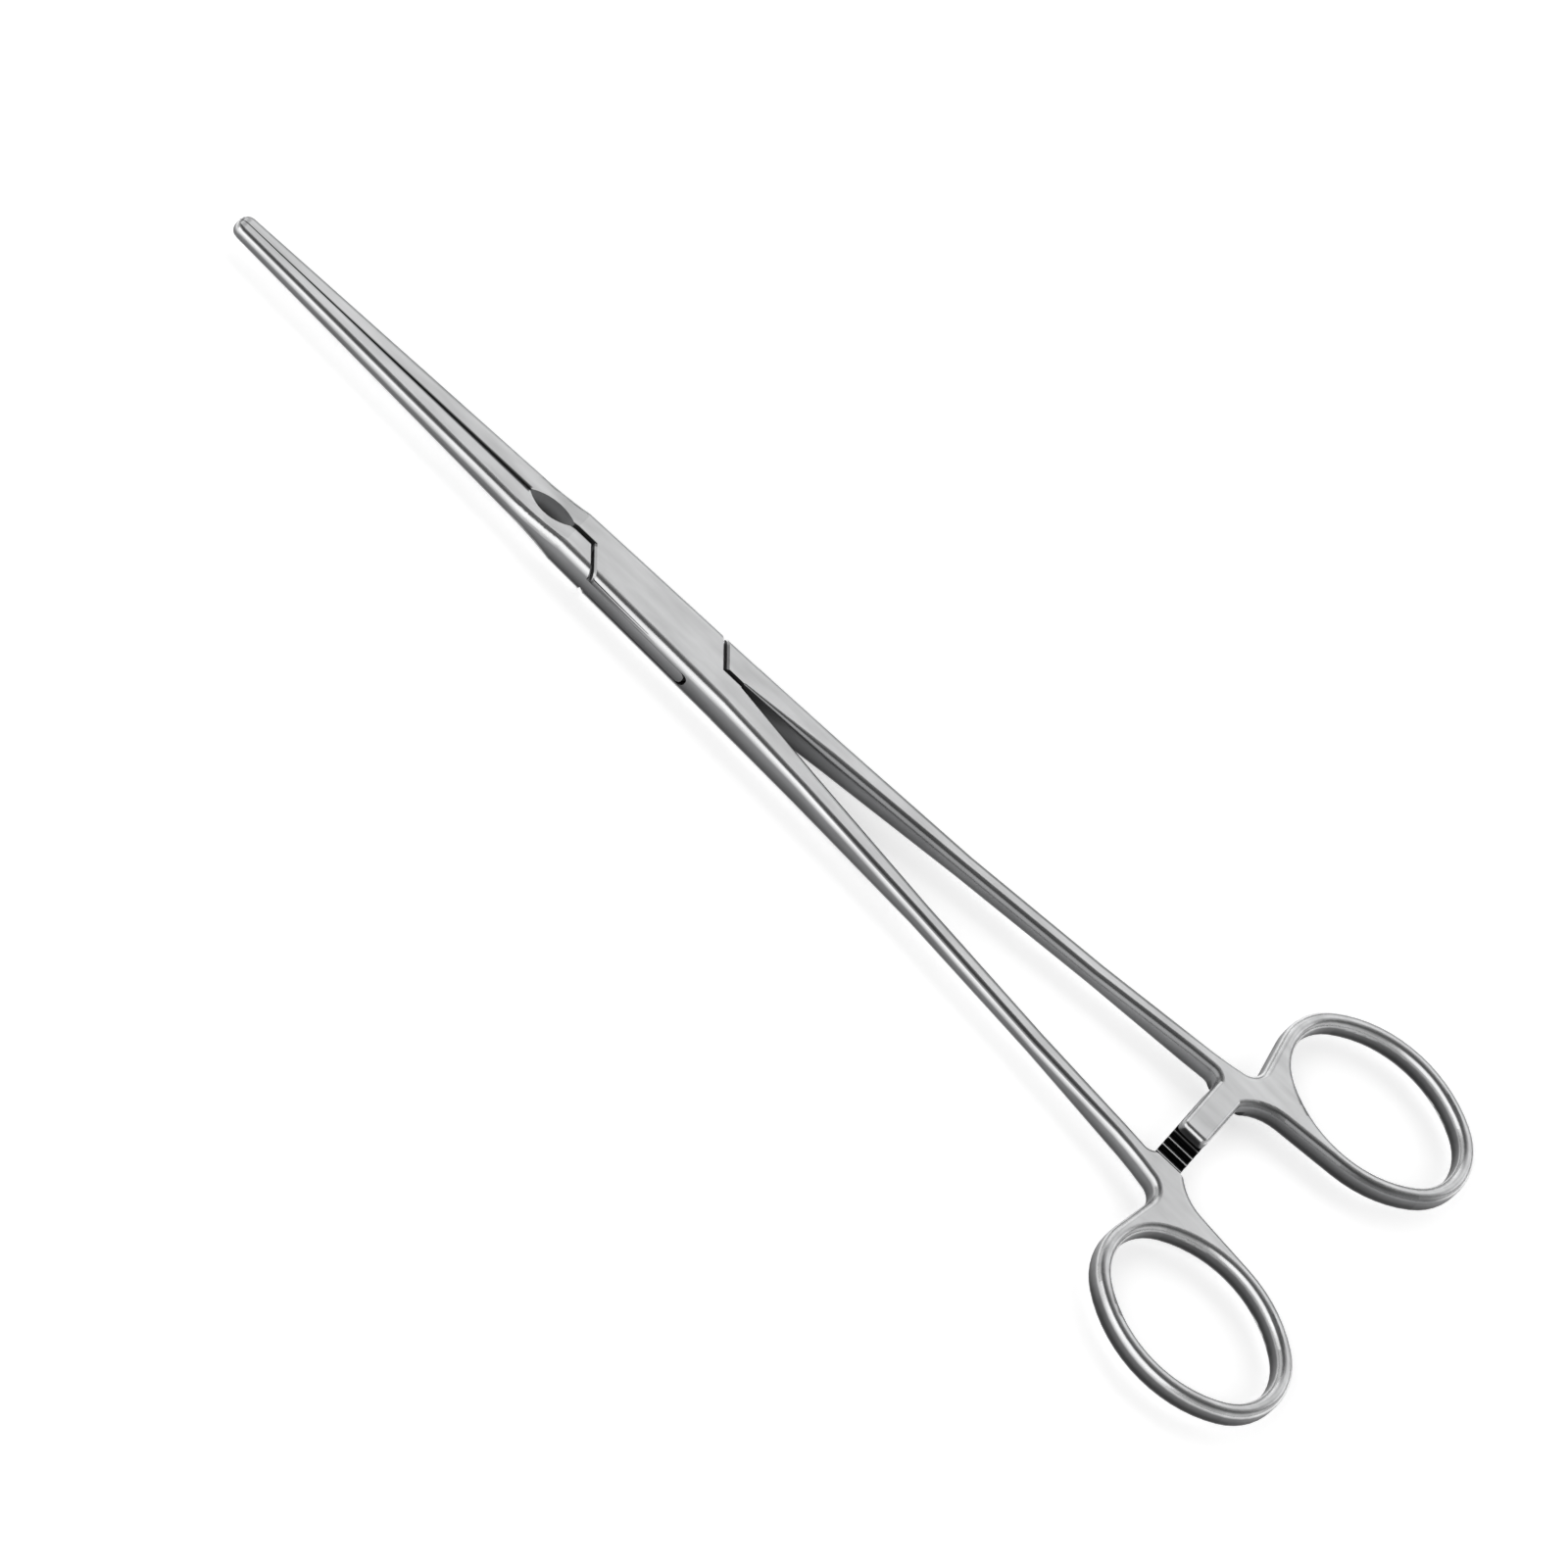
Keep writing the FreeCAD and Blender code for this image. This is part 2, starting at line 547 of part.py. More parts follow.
    # The half of the web that the other handle's arm passes stands back to the notch
    notch = new_sketch(body, "web_notch_plan", "XY_Plane", MID + " + crest_gap / 2")
    left = "arm_place - arm_width / 2 - web_fillet"
    right = "arm_place + arm_width / 2 + web_fillet"
    polygon(notch, [(left, "web_notch"), (left, "0"), (right, "0"), (right, "web_notch")])
    pocket(body, notch, "handle_thickness", both_ways=False)
    return body


# Ratchet arms: flat bars that pass each other with their teeth face to face

def make_arm(name, upper):
    """The upper arm grows from the +Y handle, the lower one from the -Y handle."""
    body = new_body(name)
    side = "" if upper else "-"
    bite = MID + (" + " if upper else " - ") + "crest_gap / 2"
    plan = new_sketch(body, name + "_plan", "XY_Plane", bite)
    past = "upper_arm_past" if upper else "lower_arm_past"
    left, right = "arm_place - arm_width / 2", "arm_place + arm_width / 2"
    root = "%s(web_step + arm_overlap)" % side
    tip = "%s(-%s)" % (side, past)
    polygon(plan, [(left, root), (left, tip), (right, tip), (right, root)])
    thickness = "(handle_thickness - crest_gap) / 2"
    blank = pad(body, plan, thickness, both_ways=False, back=not upper)
    corners = dress(body, "Fillet", name + "_corners", "arm_corner", blank,
                    lambda edge: edge.BoundBox.ZLength > 1e-3 and near(middle(edge).y, tip))
    outer = HANDLE_FACES[1] if upper else HANDLE_FACES[0]
    bar = dress(body, "Fillet", name + "_fillet", "arm_edge", corners,
                lambda edge: flat_at(edge, outer) and not near(middle(edge).y, root))
    # Each tooth is a ramp that ends at a wall facing its own handle's web
    tooth = new_sketch(body, name + "_tooth", "YZ_Plane", "arm_place", ("0", MID))
    count = "upper_teeth" if upper else "lower_teeth"
    first_wall = "-web_notch + tooth_start + tooth_pitch"
    ramp = "(tooth_pitch - tooth_land)"
    if upper:
        wall = "%s + (lower_teeth - upper_teeth) * tooth_pitch" % first_wall
        corners_text = [(wall, "crest_gap / 2"), ("%s + %s" % (wall, ramp), "crest_gap / 2"),
                        (wall, "crest_gap / 2 + tooth_depth")]
    else:
        wall = first_wall
        corners_text = [(wall, "-crest_gap / 2"), ("%s - %s" % (wall, ramp), "-crest_gap / 2"),
                        (wall, "-crest_gap / 2 - tooth_depth")]
    polygon(tooth, corners_text)
    cut = pocket(body, tooth, "2 * arm_width")
    row = body.newObject("PartDesign::LinearPattern", name + "_teeth")
    row.Originals = [cut]
    row.Direction = (plan, ["V_Axis"])
    row.setExpression("Length", formula("(%s - 1) * tooth_pitch" % count))
    row.setExpression("Occurrences", formula(count))
    body.Tip = row
    doc.recompute()
    if not row.Shape.Volume < cut.Shape.Volume:
        raise ValueError(row.Name + " cuts nothing")
    return body


# Lock

HALF_GAP = "parting_gap / 2"
SIDE = "lock_width / 2"
FRONT_SIDE = "(lock_width / 2 - lock_taper)"
REAR_SIDE = "(lock_width / 2 + lock_taper)"
SIDE_SLOPE = "(lock_taper / lock_root)"
SLANT = "tan(cheek_angle * 1 deg)"


def slant_meets(offset, level):
    """Where a slanted end, offset from the pivot at the parting line, meets a side.

    level is that side's distance from the long axis at the pivot; its slope is included.
    The rear slanted end meets a side that leans out, the front one a side that leans in.
    """
    rear = "((%s - (%s + %s) / %s) / (1 + %s / %s))" % (
        offset, HALF_GAP, level, SLANT, SIDE_SLOPE, SLANT)
    front = "((%s - (%s + %s) / %s) / (1 - %s / %s))" % (
        offset, HALF_GAP, level, SLANT, SIDE_SLOPE, SLANT)
    return front, rear


def slot_corner_box(grow):
    """The Z-shaped outline that opens the slot towards the front left and rear right."""
    out = "(%s + %s)" % (SIDE, grow)
    return [("-cheek_reach", HALF_GAP), ("-cheek_reach", "-" + out), ("0", "-" + out),
            ("0", "-" + HALF_GAP), ("cheek_reach", "-" + HALF_GAP), ("cheek_reach", out),
            ("0", out), ("0", HALF_GAP)]


def long_edge(edge):
    """An outer long edge of the lock, at either face."""
    out = abs(middle(edge).y) - middle(edge).x * value(SIDE_SLOPE)
    return flat_at(edge, *FACES) and near(out, SIDE)


CORE_RADIUS = "(cheek_reach - core_inset)"
SLOT_RADIUS = "(%s + shoulder_gap)" % CORE_RADIUS
SLOT_FACES = (MID + " - slot_height / 2", MID + " + slot_height / 2")
CORE_FACES = (MID + " - slot_height / 2 + slide_gap", MID + " + slot_height / 2 - slide_gap")


def rim_edge(edge, radius, levels):
    """A round edge of this radius about the pivot, at one of these heights."""
    spot = middle(edge)
    return flat_at(edge, *levels) and near(math.hypot(spot.x, spot.y), radius)


def slanted_edge(edge):
    """An edge along a slanted end, at either face."""
    return flat_at(edge, *FACES) and edge.BoundBox.XLength > 0.5 and edge.BoundBox.YLength > 0.5


def rivet_profile(sketch):
    """Half the rivet's section: a straight shank between two countersunk heads."""
    polygon(sketch, [("0", "0"), ("rivet_head_radius", "0"),
                     ("rivet_radius", "rivet_head_depth"),
                     ("rivet_radius", "lock_thickness - rivet_head_depth"),
                     ("rivet_head_radius", "lock_thickness"), ("0", "lock_thickness")])


def turn(body, kind, sketch):
    made = body.newObject("PartDesign::" + kind, sketch.Name + "_turned")
    made.Profile = sketch
    made.ReferenceAxis = (sketch, ["V_Axis"])
    made.Angle = 360
    doc.recompute()
    return made


def make_lock_box():
    """Both cheeks, with the slot between them."""
    body = new_body("lock_box")
    plan = new_sketch(body, "box_plan", "XY_Plane", MID)
    front, rear = slant_meets("cheek_reach", SIDE)
    polygon(plan, [("-lock_root", HALF_GAP), ("-cheek_reach", HALF_GAP),
                   ("-" + front, "-(%s - %s * %s)" % (SIDE, front, SIDE_SLOPE)),
                   ("lock_root", "-" + REAR_SIDE), ("lock_root", "-" + HALF_GAP),
                   ("cheek_reach", "-" + HALF_GAP),
                   (rear, "%s + %s * %s" % (SIDE, rear, SIDE_SLOPE)),
                   ("-lock_root", FRONT_SIDE)])
    blank = pad(body, plan, "lock_thickness")
    rounded = dress(body, "Fillet", "box_fillet", "lock_edge", blank, long_edge)
    dress(body, "Chamfer", "box_bevel", "cheek_bevel", rounded, slanted_edge)
    shoulders = new_sketch(body, "slot_shoulders", "XY_Plane", MID)
    circle(shoulders, "0", "0", SLOT_RADIUS)
    pocket(body, shoulders, "slot_height")
    ways = new_sketch(body, "slot_ways", "XY_Plane", MID)
    polygon(ways, slot_corner_box("slot_height"))
    slot = pocket(body, ways, "slot_height")
    dress(body, "Fillet", "slot_end_fillet", "slot_round", slot,
          lambda edge: rim_edge(edge, SLOT_RADIUS, SLOT_FACES))
    seat = new_sketch(body, "rivet_seat", "XZ_Plane")
    rivet_profile(seat)
    turn(body, "Groove", seat)
    return body


def make_lock_core():
    """The core in the slot, and the full shoulders before and behind it."""
    body = new_body("lock_core")
    height = "slot_height - 2 * slide_gap"
    disc = new_sketch(body, "core_disc", "XY_Plane", MID)
    half, radius, slope = value(SIDE), value(CORE_RADIUS), value(SIDE_SLOPE)
    # The side y = half + slope x meets the core's circle at these two places
    middle_x = -half * slope / (1 + slope ** 2)
    spread = math.sqrt(radius ** 2 * (1 + slope ** 2) - half ** 2) / (1 + slope ** 2)
    rear_x, front_x = middle_x + spread, middle_x - spread
    rear_y, front_y = half + slope * rear_x, half + slope * front_x
    corners = [V(rear_x, -rear_y, 0), V(rear_x, rear_y, 0), V(front_x, front_y, 0),
               V(front_x, -front_y, 0)]
    centre = V(0, 0, 0)
    edges = [
        disc.addGeometry(arc(centre, corners[0], corners[1]), False),
        disc.addGeometry(Part.LineSegment(corners[1], corners[2]), False),
        disc.addGeometry(arc(centre, corners[2], corners[3]), False),
        disc.addGeometry(Part.LineSegment(corners[3], corners[0]), False),
    ]
    for at, edge in enumerate(edges):
        disc.addConstraint(Sketcher.Constraint("Coincident", edge, 2, edges[(at + 1) % 4], 1))
    for bow in (edges[0], edges[2]):
        disc.addConstraint(Sketcher.Constraint("Coincident", bow, 3, -1, 1))
        pin(disc, "Radius", (bow,), CORE_RADIUS)
    axis = disc.addGeometry(Part.LineSegment(centre, V(0, half, 0)), True)
    pin_point(disc, axis, 1, "0", "0")
    pin_point(disc, axis, 2, "0", SIDE)
    low_axis = disc.addGeometry(Part.LineSegment(centre, V(0, -half, 0)), True)
    pin_point(disc, low_axis, 1, "0", "0")
    pin_point(disc, low_axis, 2, "0", "-" + SIDE)
    for line, rod in ((edges[1], axis), (edges[3], low_axis)):
        disc.addConstraint(Sketcher.Constraint("PointOnObject", rod, 2, line))
    tilt = "atan(%s)" % SIDE_SLOPE
    pin(disc, "Angle", (-1, 1, edges[1], 2), tilt)
    pin(disc, "Angle", (-1, 1, edges[3], 1), "-" + tilt)
    blank = pad(body, disc, height)
    dress(body, "Fillet", "core_rim_fillet", "slot_round", blank,
          lambda edge: rim_edge(edge, CORE_RADIUS, CORE_FACES))
    necks = new_sketch(body, "core_necks", "XY_Plane", MID)
    neck_front = "(%s - lock_root / 4 * %s)" % (SIDE, SIDE_SLOPE)
    neck_rear = "(%s + lock_root / 4 * %s)" % (SIDE, SIDE_SLOPE)
    polygon(necks, [("-lock_root", "-" + HALF_GAP), ("-lock_root", "-" + FRONT_SIDE),
                    ("-lock_root / 4", "-" + neck_front), ("-lock_root / 4", "-" + HALF_GAP)])
    polygon(necks, [("lock_root", HALF_GAP), ("lock_root", REAR_SIDE),
                    ("lock_root / 4", neck_rear), ("lock_root / 4", HALF_GAP)])
    pad(body, necks, height)
    roots = new_sketch(body, "core_roots", "XY_Plane", MID)
    step = "(cheek_reach + step_gap / sin(cheek_angle * 1 deg))"
    near_end = "(%s - 2 * %s / %s)" % (step, HALF_GAP, SLANT)
    front, rear = slant_meets(step, SIDE)
    polygon(roots, [("-lock_root", "-" + HALF_GAP), ("-lock_root", "-" + FRONT_SIDE),
                    ("-" + front, "-(%s - %s * %s)" % (SIDE, front, SIDE_SLOPE)),
                    ("-" + near_end, "-" + HALF_GAP)])
    polygon(roots, [("lock_root", HALF_GAP), ("lock_root", REAR_SIDE),
                    (rear, "%s + %s * %s" % (SIDE, rear, SIDE_SLOPE)), (near_end, HALF_GAP)])
    blank = pad(body, roots, "lock_thickness")
    rounded = dress(body, "Fillet", "core_fillet", "lock_edge", blank, long_edge)
    dress(body, "Chamfer", "core_bevel", "cheek_bevel", rounded, slanted_edge)
    bore = new_sketch(body, "rivet_bore", "XY_Plane", MID)
    circle(bore, "0", "0", "rivet_radius + rivet_gap")
    pocket(body, bore, "lock_thickness")
    return body


def make_rivet():
    body = new_body("rivet")
    section = new_sketch(body, "rivet_section", "XZ_Plane")
    rivet_profile(section)
    turn(body, "Revolution", section)
    return body


# The two halves share blanks: jaw, shank and handle are drawn once, on the +Y side

def mirrored(blank):
    """The blank on the -Y side."""
    made = doc.addObject("Part::Mirroring", blank.Name + "_mirrored")
    made.Source = blank
    made.Normal = V(0, 1, 0)
    made.Base = V(0, 0, 0)
    return made


def turned_over(blank):
    """The blank on the -Y side, its other face up."""
    made = doc.addObject("Part::Mirroring", blank.Name + "_turned_over")
    made.Source = mirrored(blank)
    made.Normal = V(0, 0, 1)
    made.Base = V(0, 0, value(MID))
    made.setExpression("Base.z", formula(MID))
    return made


def joined(label, pieces):
    made = doc.addObject("Part::MultiFuse", label)
    made.Shapes = pieces
    made.Refine = True
    made.Label = label
    made.Placement = FreeCAD.Placement()
    return made


jaw, shank, handle = make_jaw(), make_shank(), make_handle()
box_half = joined("box_half", [jaw, make_lock_box(), mirrored(shank), turned_over(handle),
                               make_arm("lower_arm", upper=False)])
core_half = joined("core_half", [mirrored(jaw), make_lock_core(), shank, handle,
                                 make_arm("upper_arm", upper=True)])
pivot_rivet = make_rivet()
pivot_rivet.Label = "pivot_rivet"
doc.recompute()

for obj in doc.Objects:
    if "Invalid" in obj.State or "Error" in obj.State:
        raise ValueError("%s did not build: %s" % (obj.Name, obj.State))
os.makedirs("parts", exist_ok=True)
for piece in (box_half, core_half, pivot_rivet):
    shape = piece.Shape
    if shape.isNull() or not shape.isValid() or len(shape.Solids) != 1:
        raise ValueError("%s is not one valid solid" % piece.Label)
    shape.exportStep("parts/%s.step" % piece.Label)
    box = shape.BoundBox
    print(piece.Label, "%.1f mm3" % shape.Volume, "%d faces" % len(shape.Faces),
          "%.2f x %.2f x %.2f" % (box.XLength, box.YLength, box.ZLength))
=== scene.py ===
"""Satin steel box-lock clamp on a pale table: finish, light and camera, in metres."""
import math

import bpy
from mathutils import Matrix, Vector


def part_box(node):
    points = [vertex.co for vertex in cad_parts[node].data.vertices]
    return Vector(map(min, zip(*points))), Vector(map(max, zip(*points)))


bl_info = {
    "name": "Box-lock clamp",
    "version": (1, 0, 0),
    "blender": (4, 5, 0),
    "location": "View3D > Sidebar > Clamp",
    "description": "Finishes a steel box-lock clamp and sets it on a lit table",
    "category": "Object",
}

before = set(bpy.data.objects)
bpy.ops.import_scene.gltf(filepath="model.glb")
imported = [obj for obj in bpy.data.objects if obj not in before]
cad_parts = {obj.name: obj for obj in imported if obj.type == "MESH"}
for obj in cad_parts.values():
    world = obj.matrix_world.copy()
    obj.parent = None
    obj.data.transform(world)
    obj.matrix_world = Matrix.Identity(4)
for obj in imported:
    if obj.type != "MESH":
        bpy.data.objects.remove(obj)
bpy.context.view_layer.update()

MM = 0.001

# Half the height of the lock, where the two ratchet arms meet
MID_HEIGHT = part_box("pivot_rivet")[1].z / 2

# Upward part of the surface's normal where a face counts as fully flat, and where the painted
# dark reflection line along the flats begins outside them and ends inside them
FLAT_FULL = 0.985
LINE_OUTSIDE = (0.79, 0.89)
LINE_INSIDE = (0.99, 0.999)
# How far the widest line moves its outer side down that scale
LINE_SHIFT = 0.12
# How squarely a surface faces the parting plane, from not at all to fully
FACING = (0.1, 0.5)
# Share of the inner flank's reach over which its painted shade ends
REACH_FADE = (0.8, 1.1)

# Stretches over which the painted dark line and the painted side shade change, in X, and in -X on
# the jaws
SHANK_START = (16 * MM, 50 * MM)
SHANK_END = (90 * MM, 103 * MM)
JAW_START = (24 * MM, 45 * MM)
RING_START = (103 * MM, 112 * MM)
# How much of the shanks' wide painted dark reflection line the jaws have
JAW_SHARE = 0.5
# How much more painted shade the sides of the rings get, taken off their light
RING_SHADE = 0.42
# Heights between which the painted shade on the sides turns from dark to light
SIDE_FADE = (0.6 * MM, 4.4 * MM)
# Distance from the parting plane within which the roundings toward the other half get painted
# shade
INNER_REACH = 25 * MM

# The ratchet's teeth: a box round them, its soft faces, and the heights between which the
# painted shade between the teeth turns into the lighter painted shade of the crests
TEETH_ZONE = ((102.6 * MM, -9.2 * MM, MID_HEIGHT - 1.0 * MM),
              (107.6 * MM, 8.9 * MM, MID_HEIGHT + 0.12 * MM))
TEETH_SOFTNESS = 0.5 * MM
CREST_FADE = (MID_HEIGHT - 0.5 * MM, MID_HEIGHT - 0.15 * MM)

# Painted shade in seams and along the parting line, in millimetres but for the last number:
# both ends in X, the heights there or None along the parting line, the widths there, the
# softness, and the strength
SEAM_SHADES = (((-79.5, -24.4), None, (0.45, 1.4), 0.35, 0.95),
         ((-17.0, -12.4), None, (1.15, 1.15), 0.2, 1.0),
         ((12.4, 16.2), None, (0.96, 0.96), 0.1, 1.0),
         ((-9.5, 3.0), (4.06, 4.2), (0.75, 0.12), 0.12, 0.6),
         ((-9.5, 1.5), (4.49, 4.47), (0.24, 0.12), 0.06, 1.0),
         ((-8.0, 9.6), (1.43, 1.43), (0.10, 0.16), 0.05, 1.0))

# Clouds: their size, how much longer than wide they and the grain are, the part of the noise
# that they use, and how dark and light they make the steel
CLOUD_SIZE = 2.2 * MM
GRAIN_STRETCH = 5.0
CLOUD_SPREAD = (0.25, 0.75)
CLOUD_SHADE = (0.84, 1.12)
# Noise layers of the grain and of the clouds
GRAIN_DETAIL = 3
CLOUD_DETAIL = 2
# How far the roughness wanders either way, and how deep the grain is off the flats
ROUGHNESS_WANDER = 0.04
EDGE_GRAIN = 0.15

# Soft boxes: name, the setting that gives the brightness, the turn round the upright axis
# from -Y, the angles from straight overhead between which it stands, and its length
SOFT_BOXES = (("rear_box", "rear", 180, (34, 66), 3.0),
              ("front_box", "front", -20, (27, 60), 2.2),
              ("low_front_box", "low_front", -20, (60, 88), 2.4),
              ("tip_box", "ends", -90, (40, 75), 1.2),
              ("ring_box", "ends", 90, (40, 75), 1.2))
BOX_DISTANCE = 1.5
FLOOR_REACH = 4.0
# Upward part of the direction between the studio's walls and its ceiling
WALL_TOP = (0.35, 0.85)
SENSOR_WIDTH_MM = 36
VIEW_LIMIT = 20


class ClampSteel(bpy.types.PropertyGroup):
    """Finish of the steel, with the colours of its painted highlight, painted reflection and
    painted shade.
    """

    face_colour: bpy.props.FloatVectorProperty(
        name="Face colour", description="Colour of the flat satin faces",
        subtype="COLOR", size=3, min=0, max=1, default=(0.545, 0.548, 0.552))
    # Partly real polish and partly painted highlight: the roundings are lighter than the flats so
    # that their highlight comes out bright.
    polish_and_highlight_colour: bpy.props.FloatVectorProperty(
        name="Edge colour", description="Colour of the polished roundings",
        subtype="COLOR", size=3, min=0, max=1, default=(0.73, 0.733, 0.737))
    # Painted reflection: the next two colours draw a dark line beside the flats in place of the
    # dark overhead mirrored there, wider and darker on shanks and jaws.
    painted_dark_line_colour: bpy.props.FloatVectorProperty(
        name="Shoulder colour", description="Colour of the dark line along the flat faces",
        subtype="COLOR", size=3, min=0, max=1, default=(0.46, 0.463, 0.467))
    long_painted_dark_line_colour: bpy.props.FloatVectorProperty(
        name="Long shoulder colour", description="Colour of that line on shanks and jaws",
        subtype="COLOR", size=3, min=0, max=1, default=(0.25, 0.252, 0.255))
    # Painted shade: darkens the roundings that face the other half and dims their highlight.
    painted_flank_shade_colour: bpy.props.FloatVectorProperty(
        name="Inner colour", description="Colour of the duller roundings that face the other half",
        subtype="COLOR", size=3, min=0, max=1, default=(0.26, 0.262, 0.266))
    # Painted shade: the next two colours darken the upright sides in place of the floor they
    # mirror, most toward the table.
    painted_side_shade_colour: bpy.props.FloatVectorProperty(
        name="Side colour", description="Colour of the duller upright sides",
        subtype="COLOR", size=3, min=0, max=1, default=(0.27, 0.272, 0.277))
    painted_table_shade_colour: bpy.props.FloatVectorProperty(
        name="Under colour", description="Colour of the upright sides near the table",
        subtype="COLOR", size=3, min=0, max=1, default=(0.04, 0.04, 0.041))
    # Painted shade: the next two colours darken the ratchet's teeth, their crests less; the first
    # also darkens the seams.
    painted_gap_shade_colour: bpy.props.FloatVectorProperty(
        name="Tooth colour", description="Colour of the oxide between the teeth and in the seams",
        subtype="COLOR", size=3, min=0, max=1, default=(0.02, 0.02, 0.022))
    painted_crest_shade_colour: bpy.props.FloatVectorProperty(
        name="Crest colour", description="Colour of the crests of the ratchet teeth",
        subtype="COLOR", size=3, min=0, max=1, default=(0.17, 0.17, 0.173))
    face_roughness: bpy.props.FloatProperty(
        name="Face roughness", description="Roughness of the satin faces",
        subtype="FACTOR", min=0, max=1, default=0.36)
    edge_roughness: bpy.props.FloatProperty(
        name="Edge roughness", description="Roughness of the polished roundings",
        subtype="FACTOR", min=0, max=1, default=0.25)
    side_roughness: bpy.props.FloatProperty(
        name="Side roughness", description="Roughness of the upright sides",
        subtype="FACTOR", min=0, max=1, default=0.42)
    grain_size: bpy.props.FloatProperty(
        name="Grain size", description="Size of the satin grain",
        unit="LENGTH", min=0.00002, default=0.00022)
    grain_depth: bpy.props.FloatProperty(
        name="Grain depth", description="Depth of the satin grain",
        unit="LENGTH", min=0, default=0.0000025)


class ClampStudio(bpy.types.PropertyGroup):
    """Table, light and camera."""

    floor_colour: bpy.props.FloatVectorProperty(
        name="Floor colour", description="Colour of the table",
        subtype="COLOR", size=3, min=0, max=1, default=(0.95, 0.95, 0.95))
    floor_lift: bpy.props.FloatProperty(
        name="Floor lift", description="How much whiter the table looks than the light makes it",
        min=0, default=0.5)
    rear: bpy.props.FloatProperty(
        name="Rear box", description="Brightness of the soft box that the flat faces mirror",
        min=0, default=1.3)
    front: bpy.props.FloatProperty(
        name="Front box", description="Brightness of the soft box that the near edges mirror",
        min=0, default=1.0)
    low_front: bpy.props.FloatProperty(
        name="Low front box", description="Brightness of the low box that the near sides mirror",
        min=0, default=0.7)
    ends: bpy.props.FloatProperty(
        name="End boxes", description="Brightness of the two boxes beyond tips and rings",
        min=0, default=0.15)
    zenith: bpy.props.FloatProperty(
        name="Zenith", description="Brightness of the studio straight overhead",
        min=0, default=0.17)
    horizon: bpy.props.FloatProperty(
        name="Horizon", description="Brightness of the studio's walls",
        min=0, default=0.5)
    elevation: bpy.props.FloatProperty(
        name="Elevation", description="Height angle of the camera over the table",
        subtype="ANGLE", default=math.radians(50))
    roll: bpy.props.FloatProperty(
        name="Roll", description="Turn of the picture, so that the clamp lies slantwise",
        subtype="ANGLE", default=math.radians(43.59))
    distance: bpy.props.FloatProperty(
        name="Distance", description="Camera to the point that it looks at",
        unit="LENGTH", default=1.6)
    lens: bpy.props.FloatProperty(
        name="Focal length", description="Focal length on a 36 mm wide sensor, in millimetres",
        default=261.72)
    target: bpy.props.FloatVectorProperty(
        name="Target", description="Point on the table that the camera looks at",
        subtype="XYZ", unit="LENGTH", size=3, default=(0.0297, -0.00354, 0.0))


# Node helpers

def node(tree, kind, **settings):
    made = tree.nodes.new(kind)
    for name, setting in settings.items():
        setattr(made, name, setting)
    return made


def feed(tree, socket, source):
    """Links the socket to another one, or sets it to a number, a vector or a colour."""
    if isinstance(source, bpy.types.NodeSocket):
        tree.links.new(source, socket)
    elif socket.type == "RGBA":
        socket.default_value = (*source, 1)
    else:
        socket.default_value = source


def math_node(tree, operation, *sources, clamp=False):
    made = node(tree, "ShaderNodeMath", operation=operation, use_clamp=clamp)
    for socket, source in zip(made.inputs, sources):
        feed(tree, socket, source)
    return made.outputs[0]


def smooth_step(tree, source, low, high):
    """0 below low and 1 above high, with a smooth change between."""
    made = node(tree, "ShaderNodeMapRange", interpolation_type="SMOOTHSTEP")
    for label, given in (("Value", source), ("From Min", low), ("From Max", high)):
        feed(tree, made.inputs[label], given)
    return made.outputs["Result"]


def mix(tree, kind, factor, first, second):
    """first at factor 0 and second at factor 1, both of kind Color or both of kind Float."""
    made = node(tree, "ShaderNodeMix", data_type="RGBA" if kind == "Color" else "FLOAT")
    sources = {"Factor_Float": factor, "A_" + kind: first, "B_" + kind: second}
    for socket in made.inputs:
        if socket.identifier in sources:
            feed(tree, socket, sources[socket.identifier])
    return next(socket for socket in made.outputs if socket.identifier == "Result_" + kind)


def coordinate(tree, kind):
    """X, Y and Z of the Object coordinate or of the Normal."""
    split = node(tree, "ShaderNodeSeparateXYZ")
    tree.links.new(node(tree, "ShaderNodeTexCoord").outputs[kind], split.inputs[0])
    return split.outputs


def new_group(name, inputs, outputs):
    """An empty shader node group: (tree, its input node, its output node)."""
    tree = bpy.data.node_groups.new(name, "ShaderNodeTree")
    for label, kind, default in inputs:
        socket = tree.interface.new_socket(label, in_out="INPUT", socket_type=kind)
        socket.default_value = default
    for label, kind in outputs:
        tree.interface.new_socket(label, in_out="OUTPUT", socket_type=kind)
    return tree, tree.nodes.new("NodeGroupInput"), tree.nodes.new("NodeGroupOutput")


def place_group(tree, name, **values):
    made = tree.nodes.new("ShaderNodeGroup")
    made.node_tree = bpy.data.node_groups[name]
    for label, given in values.items():
        feed(tree, made.inputs[label.replace("_", " ").capitalize()], given)
    return made


# Shared effects

